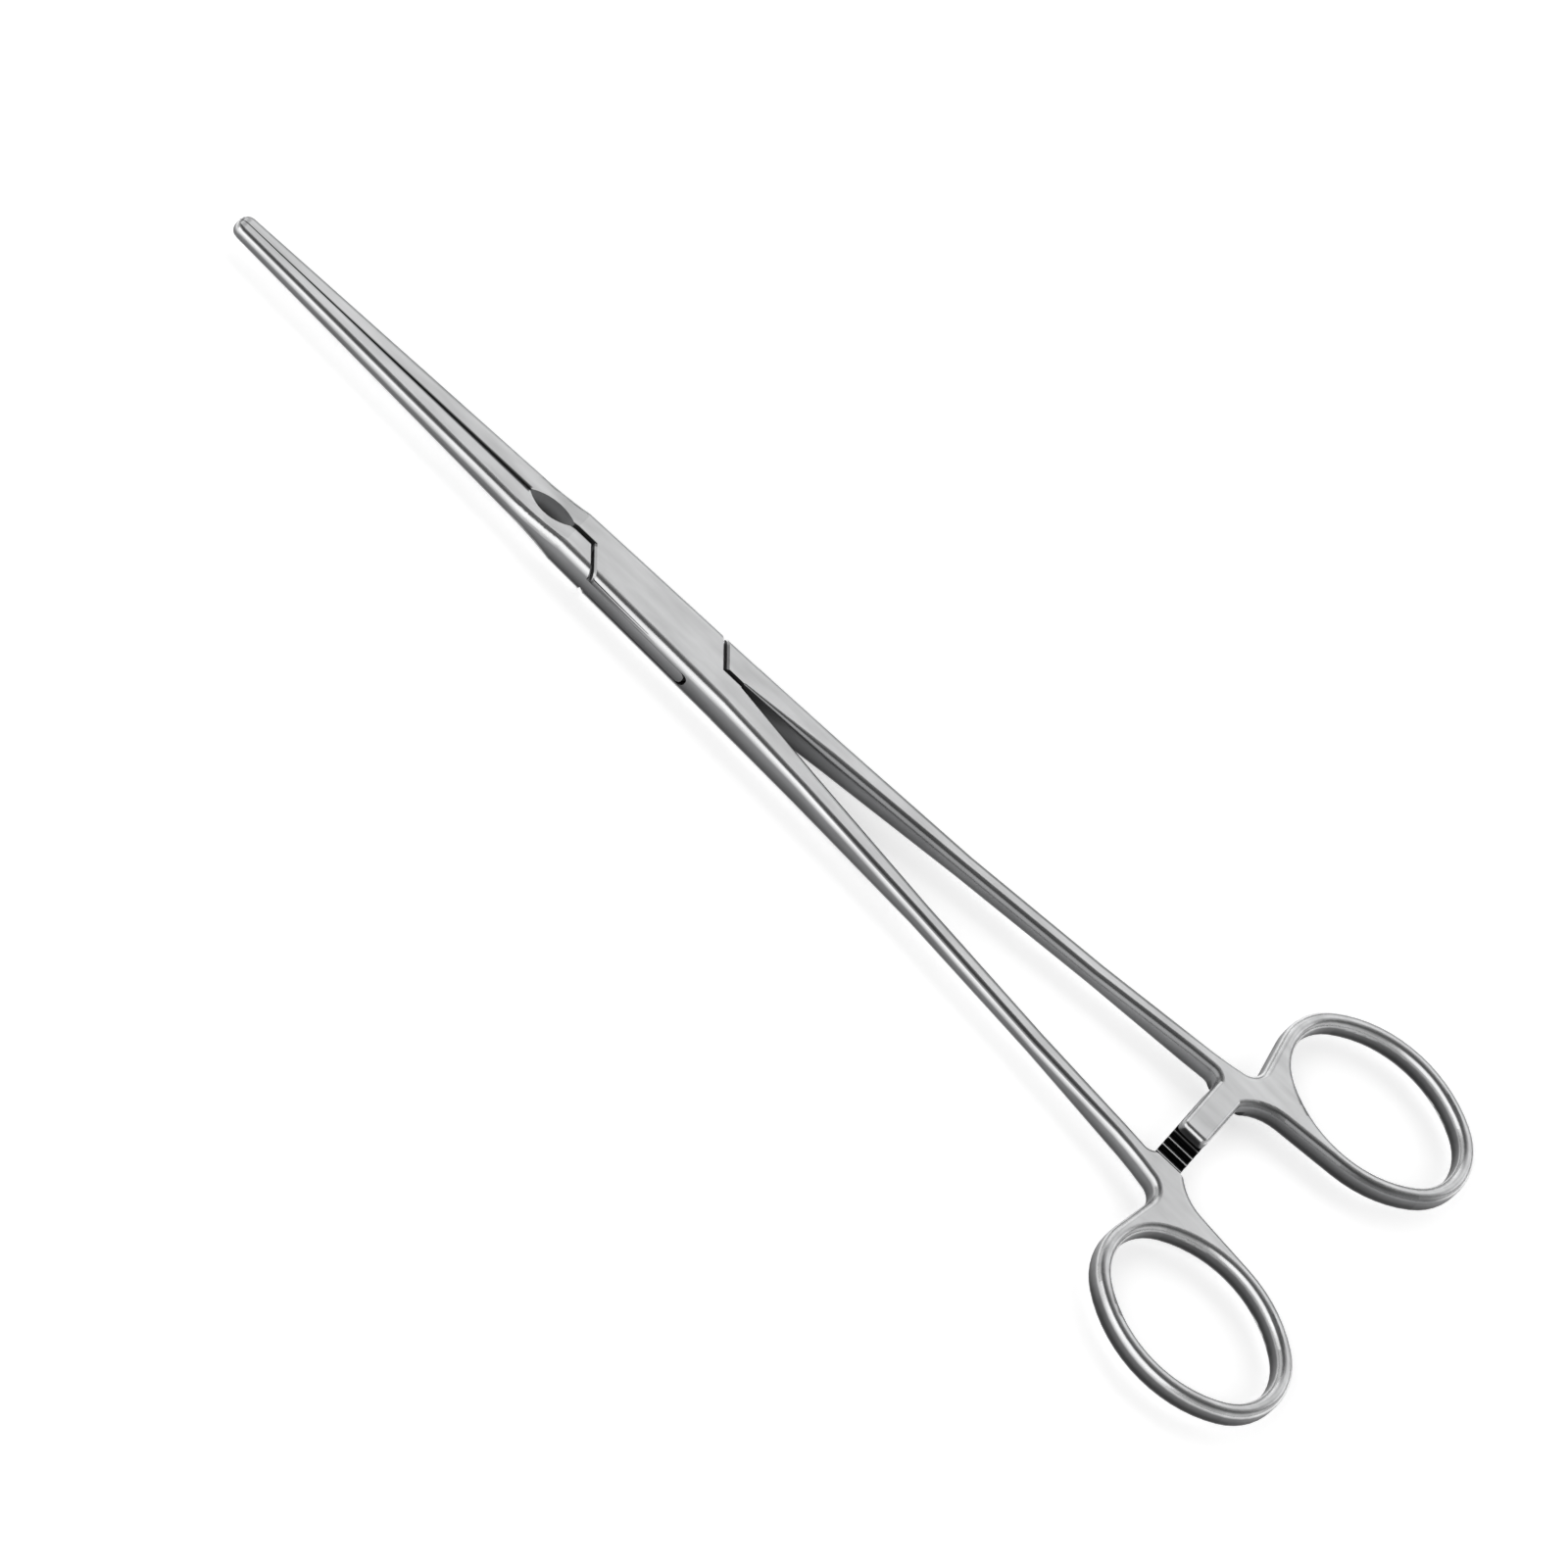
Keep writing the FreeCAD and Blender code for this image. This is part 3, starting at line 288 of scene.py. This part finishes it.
def make_satin_grain():
    """Fine satin grain and slow clouds, two noises about one half, both stretched in X."""
    tree, entry, leave = new_group(
        "satin_grain",
        [("Grain size", "NodeSocketFloat", 0.0002), ("Cloud size", "NodeSocketFloat", 0.01),
         ("Stretch", "NodeSocketFloat", 1.0)],
        [("Height", "NodeSocketFloat"), ("Cloud", "NodeSocketFloat")])
    squeeze = node(tree, "ShaderNodeCombineXYZ")
    tree.links.new(math_node(tree, "DIVIDE", 1.0, entry.outputs["Stretch"]), squeeze.inputs["X"])
    squeeze.inputs["Y"].default_value = 1
    squeeze.inputs["Z"].default_value = 1
    squeezed = node(tree, "ShaderNodeVectorMath", operation="MULTIPLY")
    tree.links.new(node(tree, "ShaderNodeTexCoord").outputs["Object"], squeezed.inputs[0])
    tree.links.new(squeeze.outputs[0], squeezed.inputs[1])
    for size, detail, output in (("Grain size", GRAIN_DETAIL, "Height"),
                                 ("Cloud size", CLOUD_DETAIL, "Cloud")):
        noise = node(tree, "ShaderNodeTexNoise")
        noise.inputs["Detail"].default_value = detail
        tree.links.new(squeezed.outputs[0], noise.inputs["Vector"])
        tree.links.new(math_node(tree, "DIVIDE", 1.0, entry.outputs[size]),
                       noise.inputs["Scale"])
        tree.links.new(noise.outputs["Fac"], leave.inputs[output])


def make_ground_faces():
    """Masks by how far a surface leans: flat faces, shoulders next to them, and sides."""
    tree, entry, leave = new_group(
        "ground_faces",
        [("Flat from", "NodeSocketFloat", 0.93), ("Side from", "NodeSocketFloat", 0.62),
         ("Side full", "NodeSocketFloat", 0.05), ("Shoulder width", "NodeSocketFloat", 0.0)],
        [("Flat", "NodeSocketFloat"), ("Shoulder", "NodeSocketFloat"),
         ("Side", "NodeSocketFloat")])
    upright = math_node(tree, "ABSOLUTE", coordinate(tree, "Normal")["Z"])
    tree.links.new(smooth_step(tree, upright, entry.outputs["Flat from"], FLAT_FULL),
                   leave.inputs["Flat"])
    shift = math_node(tree, "MULTIPLY", entry.outputs["Shoulder width"], LINE_SHIFT)
    outer = smooth_step(tree, math_node(tree, "ADD", upright, shift), *LINE_OUTSIDE)
    inner = smooth_step(tree, upright, *LINE_INSIDE)
    tree.links.new(math_node(tree, "SUBTRACT", outer, inner, clamp=True),
                   leave.inputs["Shoulder"])
    lifted = smooth_step(tree, upright, entry.outputs["Side full"], entry.outputs["Side from"])
    tree.links.new(math_node(tree, "SUBTRACT", 1.0, lifted), leave.inputs["Side"])


def make_inner_flank():
    """1 where a surface faces the parting plane, fading out at the reach from it; it masks the
    painted shade on the inner flanks.
    """
    tree, entry, leave = new_group(
        "inner_flank", [("Reach", "NodeSocketFloat", 0.025)], [("Inner", "NodeSocketFloat")])
    across = coordinate(tree, "Object")["Y"]
    outward = math_node(tree, "MULTIPLY", math_node(tree, "SIGN", across),
                        coordinate(tree, "Normal")["Y"])
    inward = smooth_step(tree, math_node(tree, "MULTIPLY", outward, -1.0), *FACING)
    off = math_node(tree, "ABSOLUTE", across)
    far = smooth_step(tree, math_node(tree, "DIVIDE", off, entry.outputs["Reach"]), *REACH_FADE)
    tree.links.new(math_node(tree, "MULTIPLY", inward, math_node(tree, "SUBTRACT", 1.0, far)),
                   leave.inputs["Inner"])


def make_height_fade():
    """0 at the low height of the instrument and 1 at the high one."""
    tree, entry, leave = new_group(
        "height_fade",
        [("Low", "NodeSocketFloat", 0.0), ("High", "NodeSocketFloat", 0.005)],
        [("Fade", "NodeSocketFloat")])
    tree.links.new(smooth_step(tree, coordinate(tree, "Object")["Z"], entry.outputs["Low"],
                               entry.outputs["High"]), leave.inputs["Fade"])


def make_seam():
    """1 along a line from start to end in X, as wide as the seam is at either end."""
    tree, entry, leave = new_group(
        "seam",
        [("Across", "NodeSocketFloat", 0.0), ("Start", "NodeSocketFloat", 0.0),
         ("End", "NodeSocketFloat", 0.01), ("Start width", "NodeSocketFloat", 0.0005),
         ("End width", "NodeSocketFloat", 0.0005), ("Softness", "NodeSocketFloat", 0.0001)],
        [("Inside", "NodeSocketFloat")])
    along = coordinate(tree, "Object")["X"]
    width = node(tree, "ShaderNodeMapRange")
    for label, source in (("Value", along), ("From Min", entry.outputs["Start"]),
                          ("From Max", entry.outputs["End"]),
                          ("To Min", entry.outputs["Start width"]),
                          ("To Max", entry.outputs["End width"])):
        tree.links.new(source, width.inputs[label])
    half = math_node(tree, "MULTIPLY", width.outputs["Result"], 0.5)
    inside = math_node(tree, "SUBTRACT", half,
                       math_node(tree, "ABSOLUTE", entry.outputs["Across"]))
    past_start = math_node(tree, "SUBTRACT", along, entry.outputs["Start"])
    short_of_end = math_node(tree, "SUBTRACT", entry.outputs["End"], along)
    inside = math_node(tree, "MINIMUM", inside, past_start)
    inside = math_node(tree, "MINIMUM", inside, short_of_end)
    tree.links.new(smooth_step(tree, inside, 0.0, entry.outputs["Softness"]),
                   leave.inputs["Inside"])


def make_box_zone():
    """1 inside an upright box of the instrument, with soft faces."""
    tree, entry, leave = new_group(
        "box_zone",
        [("Low corner", "NodeSocketVector", (0, 0, 0)),
         ("High corner", "NodeSocketVector", (0, 0, 0)),
         ("Softness", "NodeSocketFloat", 0.0001)],
        [("Inside", "NodeSocketFloat")])
    place = node(tree, "ShaderNodeTexCoord").outputs["Object"]
    depths = []
    for from_source, to_source in ((entry.outputs["Low corner"], place),
                                   (place, entry.outputs["High corner"])):
        past = node(tree, "ShaderNodeVectorMath", operation="SUBTRACT")
        tree.links.new(to_source, past.inputs[0])
        tree.links.new(from_source, past.inputs[1])
        split = node(tree, "ShaderNodeSeparateXYZ")
        tree.links.new(past.outputs[0], split.inputs[0])
        depths.extend(split.outputs)
    inside = depths[0]
    for depth in depths[1:]:
        inside = math_node(tree, "MINIMUM", inside, depth)
    tree.links.new(smooth_step(tree, inside, 0.0, entry.outputs["Softness"]),
                   leave.inputs["Inside"])


GROUPS = {"satin_grain": make_satin_grain, "ground_faces": make_ground_faces,
          "inner_flank": make_inner_flank, "height_fade": make_height_fade,
          "seam": make_seam, "box_zone": make_box_zone}


def make_groups():
    for name, make in GROUPS.items():
        if name not in bpy.data.node_groups:
            make()


# Steel

def new_material(name):
    made = bpy.data.materials.new(name)
    made.use_nodes = True
    return made, made.node_tree, made.node_tree.nodes["Principled BSDF"]


def slender_parts(tree, place):
    """1 on the shanks, JAW_SHARE on the jaws, and 0 on the lock and the rings."""
    shanks = math_node(tree, "SUBTRACT", smooth_step(tree, place["X"], *SHANK_START),
                       smooth_step(tree, place["X"], *SHANK_END))
    jaws = smooth_step(tree, math_node(tree, "MULTIPLY", place["X"], -1.0), *JAW_START)
    return math_node(tree, "ADD", shanks, math_node(tree, "MULTIPLY", jaws, JAW_SHARE))


def top_colour(tree, finish, faces, slender):
    """Satin flats and polished roundings with a painted highlight, painted shade on roundings that
    face the other half, and a painted dark reflection line between flats and roundings.
    """
    colour = mix(tree, "Color", faces["Flat"], finish.polish_and_highlight_colour, finish.face_colour)
    inner = place_group(tree, "inner_flank", reach=INNER_REACH)
    painted_flank_shade = math_node(tree, "MULTIPLY", inner.outputs["Inner"],
                     math_node(tree, "SUBTRACT", 1.0, faces["Flat"]))
    colour = mix(tree, "Color", painted_flank_shade, colour, finish.painted_flank_shade_colour)
    line = mix(tree, "Color", slender, finish.painted_dark_line_colour, finish.long_painted_dark_line_colour)
    shoulder = math_node(tree, "MULTIPLY", faces["Shoulder"],
                         math_node(tree, "SUBTRACT", 1.0, painted_flank_shade))
    return mix(tree, "Color", shoulder, colour, line)


def painted_side_shade_colour(tree, finish, place):
    """Painted shade on the sides, darker toward the table and on the rings."""
    fade = place_group(tree, "height_fade", low=SIDE_FADE[0], high=SIDE_FADE[1])
    rings = smooth_step(tree, place["X"], *RING_START)
    lit = math_node(tree, "SUBTRACT", fade.outputs["Fade"],
                    math_node(tree, "MULTIPLY", rings, RING_SHADE), clamp=True)
    return mix(tree, "Color", lit, finish.painted_table_shade_colour, finish.painted_side_shade_colour)


def with_teeth_shade(tree, finish, colour):
    """The colour, with painted shade between the ratchet's teeth, lighter on their crests."""
    zone = place_group(tree, "box_zone", low_corner=TEETH_ZONE[0], high_corner=TEETH_ZONE[1],
                       softness=TEETH_SOFTNESS)
    rise = place_group(tree, "height_fade", low=CREST_FADE[0], high=CREST_FADE[1])
    teeth = mix(tree, "Color", rise.outputs["Fade"], finish.painted_gap_shade_colour, finish.painted_crest_shade_colour)
    return mix(tree, "Color", zone.outputs["Inside"], colour, teeth)


def with_seams(tree, finish, colour, place, faces):
    """The colour, with painted shade along the seams. Those along the parting line stay on the
    flats.
    """
    for ends, heights, widths, softness, strength in SEAM_SHADES:
        start, end = (given * MM for given in ends)
        if heights is None:
            across = place["Y"]
        else:
            low, high = (given * MM for given in heights)
            slope = (high - low) / (end - start)
            line = math_node(tree, "MULTIPLY_ADD", place["X"], slope, low - slope * start)
            across = math_node(tree, "SUBTRACT", place["Z"], line)
        seam = place_group(tree, "seam", across=across, start=start, end=end,
                           start_width=widths[0] * MM, end_width=widths[1] * MM,
                           softness=softness * MM)
        dark = math_node(tree, "MULTIPLY", seam.outputs["Inside"], strength)
        if heights is None:
            dark = math_node(tree, "MULTIPLY", dark, faces["Flat"])
        colour = mix(tree, "Color", dark, colour, finish.painted_gap_shade_colour)
    return colour


def with_clouds(tree, colour, grain):
    """The colour, a little lighter and darker in slow clouds."""
    level = node(tree, "ShaderNodeMapRange")
    for label, number in zip(("From Min", "From Max", "To Min", "To Max"),
                             CLOUD_SPREAD + CLOUD_SHADE):
        level.inputs[label].default_value = number
    tree.links.new(grain["Cloud"], level.inputs["Value"])
    shade = node(tree, "ShaderNodeVectorMath", operation="SCALE")
    tree.links.new(colour, shade.inputs[0])
    tree.links.new(level.outputs[0], shade.inputs["Scale"])
    return shade.outputs[0]


def steel_roughness(tree, finish, faces, grain):
    """Roughness of flats, roundings and sides, which wanders with the grain."""
    rough = mix(tree, "Float", faces["Flat"], finish.edge_roughness, finish.face_roughness)
    rough = mix(tree, "Float", faces["Side"], rough, finish.side_roughness)
    wander = math_node(tree, "MULTIPLY_ADD", grain["Height"], 2 * ROUGHNESS_WANDER,
                       -ROUGHNESS_WANDER)
    return math_node(tree, "ADD", rough, wander, clamp=True)


def steel_normal(tree, finish, faces, grain):
    """Normal of the satin grain, which is shallower off the flats."""
    bump = node(tree, "ShaderNodeBump")
    bump.inputs["Strength"].default_value = 1
    bump.inputs["Distance"].default_value = finish.grain_depth
    depth = mix(tree, "Float", faces["Flat"], EDGE_GRAIN, 1.0)
    tree.links.new(math_node(tree, "MULTIPLY", grain["Height"], depth), bump.inputs["Height"])
    return bump.outputs[0]


def satin_steel(finish):
    """Satin faces; polished roundings with a painted highlight; a painted dark reflection line
    beside the flats; painted shade on the sides, on the roundings toward the other half, between
    the teeth and along the seams.
    """
    material, tree, shader = new_material("ground_steel")
    shader.inputs["Metallic"].default_value = 1
    place = coordinate(tree, "Object")
    grain = place_group(tree, "satin_grain", grain_size=finish.grain_size,
                        cloud_size=CLOUD_SIZE, stretch=GRAIN_STRETCH).outputs
    slender = slender_parts(tree, place)
    faces = place_group(tree, "ground_faces", shoulder_width=slender).outputs
    colour = top_colour(tree, finish, faces, slender)
    colour = mix(tree, "Color", faces["Side"], colour, painted_side_shade_colour(tree, finish, place))
    colour = with_teeth_shade(tree, finish, colour)
    colour = with_seams(tree, finish, colour, place, faces)
    tree.links.new(with_clouds(tree, colour, grain), shader.inputs["Base Color"])
    tree.links.new(steel_roughness(tree, finish, faces, grain), shader.inputs["Roughness"])
    tree.links.new(steel_normal(tree, finish, faces, grain), shader.inputs["Normal"])
    return material


def finish_nodes(finish, *names):
    """Gives the named pieces their satin steel."""
    make_groups()
    steel = satin_steel(finish)
    for name in names:
        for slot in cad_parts[name].material_slots:
            slot.link = "OBJECT"
            slot.material = steel


class CLAMP_OT_finish_halves(bpy.types.Operator):
    """Gives both forged halves their satin steel"""

    bl_idname = "clamp.finish_halves"
    bl_label = "Finish the halves"

    def execute(self, context):
        finish_nodes(context.scene.clamp_steel, "box_half", "core_half")
        return {"FINISHED"}


class CLAMP_OT_finish_rivet(bpy.types.Operator):
    """Gives the pivot rivet its ground face"""

    bl_idname = "clamp.finish_rivet"
    bl_label = "Finish the rivet"

    def execute(self, context):
        finish_nodes(context.scene.clamp_steel, "pivot_rivet")
        return {"FINISHED"}


# Stage

def make_floor(studio):
    mesh = bpy.data.meshes.new("floor")
    reach = FLOOR_REACH
    mesh.from_pydata([(-reach, -reach, 0), (reach, -reach, 0), (reach, reach, 0),
                      (-reach, reach, 0)], [], [(0, 1, 2, 3)])
    floor = bpy.data.objects.new("floor", mesh)
    bpy.context.scene.collection.objects.link(floor)
    material, tree, shader = new_material("floor_white")
    shader.inputs["Base Color"].default_value = (*studio.floor_colour, 1)
    shader.inputs["Roughness"].default_value = 1
    shader.inputs["Specular IOR Level"].default_value = 0
    path = node(tree, "ShaderNodeLightPath")
    seen = math_node(tree, "ADD", path.outputs["Is Camera Ray"], path.outputs["Is Glossy Ray"])
    seen = math_node(tree, "ADD", seen, path.outputs["Is Transmission Ray"], clamp=True)
    tree.links.new(math_node(tree, "MULTIPLY", seen, studio.floor_lift),
                   shader.inputs["Emission Strength"])
    shader.inputs["Emission Color"].default_value = (1, 1, 1, 1)
    floor.data.materials.append(material)


def soft_box(name, compass, angles, length, brightness):
    """A strip light that stands square to one compass direction.

    compass turns it round the upright axis from -Y, and angles are those of its lower and
    upper long side, the one nearer overhead first, all in degrees.
    """
    lean = math.radians(angles[0] + angles[1]) / 2
    spread = math.radians(angles[1] - angles[0]) / 2
    data = bpy.data.lights.new(name, "AREA")
    data.shape = "RECTANGLE"
    data.size = length
    data.size_y = 2 * BOX_DISTANCE * math.tan(spread)
    data.energy = brightness * math.pi * data.size * data.size_y
    lamp = bpy.data.objects.new(name, data)
    bpy.context.scene.collection.objects.link(lamp)
    turn = Matrix.Rotation(math.radians(compass), 4, "Z") @ Matrix.Rotation(lean, 4, "X")
    lamp.matrix_world = turn @ Matrix.Translation((0, 0, BOX_DISTANCE))
    lamp.visible_camera = False


def make_world(studio):
    world = bpy.data.worlds.new("studio")
    bpy.context.scene.world = world
    world.use_nodes = True
    tree = world.node_tree
    height = smooth_step(tree, coordinate(tree, "Generated")["Z"], *WALL_TOP)
    level = mix(tree, "Float", height, studio.horizon, studio.zenith)
    background = tree.nodes["Background"]
    background.inputs["Color"].default_value = (1, 1, 1, 1)
    tree.links.new(level, background.inputs["Strength"])


def make_camera(studio):
    data = bpy.data.cameras.new("camera")
    data.lens = studio.lens
    data.sensor_width = SENSOR_WIDTH_MM
    data.clip_end = VIEW_LIMIT
    camera = bpy.data.objects.new("camera", data)
    bpy.context.scene.collection.objects.link(camera)
    back = Vector((0, -math.cos(studio.elevation), math.sin(studio.elevation)))
    level_up = Vector((0, math.sin(studio.elevation), math.cos(studio.elevation)))
    level_right = Vector((1, 0, 0))
    right = level_right * math.cos(studio.roll) + level_up * math.sin(studio.roll)
    up = level_up * math.cos(studio.roll) - level_right * math.sin(studio.roll)
    turn = Matrix((right, up, back)).transposed().to_4x4()
    place = Vector(studio.target) + back * studio.distance
    camera.matrix_world = Matrix.Translation(place) @ turn
    bpy.context.scene.camera = camera


class CLAMP_OT_set_stage(bpy.types.Operator):
    """Lays the clamp on a pale table under soft boxes and places the camera"""

    bl_idname = "clamp.set_stage"
    bl_label = "Set the stage"

    def execute(self, context):
        studio = context.scene.clamp_studio
        make_floor(studio)
        make_world(studio)
        for name, setting, compass, angles, length in SOFT_BOXES:
            soft_box(name, compass, angles, length, getattr(studio, setting))
        make_camera(studio)
        context.scene.view_settings.view_transform = "Standard"
        return {"FINISHED"}


class CLAMP_PT_sidebar(bpy.types.Panel):
    """Lists the clamp's steps and sizes"""

    bl_label = "Clamp"
    bl_idname = "CLAMP_PT_sidebar"
    bl_space_type = "VIEW_3D"
    bl_region_type = "UI"
    bl_category = "Clamp"

    def draw(self, context):
        for settings in (context.scene.clamp_steel, context.scene.clamp_studio):
            for name in settings.__annotations__:
                self.layout.prop(settings, name)
        for step in STEPS:
            self.layout.operator(step.bl_idname)


STEPS = (CLAMP_OT_finish_halves, CLAMP_OT_finish_rivet, CLAMP_OT_set_stage)
CLASSES = (ClampSteel, ClampStudio, *STEPS, CLAMP_PT_sidebar)


def register():
    for made in CLASSES:
        bpy.utils.register_class(made)
    bpy.types.Scene.clamp_steel = bpy.props.PointerProperty(type=ClampSteel)
    bpy.types.Scene.clamp_studio = bpy.props.PointerProperty(type=ClampStudio)


def unregister():
    del bpy.types.Scene.clamp_studio
    del bpy.types.Scene.clamp_steel
    for made in reversed(CLASSES):
        bpy.utils.unregister_class(made)


def main():
    register()
    bpy.ops.clamp.finish_halves()
    bpy.ops.clamp.finish_rivet()
    bpy.ops.clamp.set_stage()


if __name__ == "__main__":
    main()
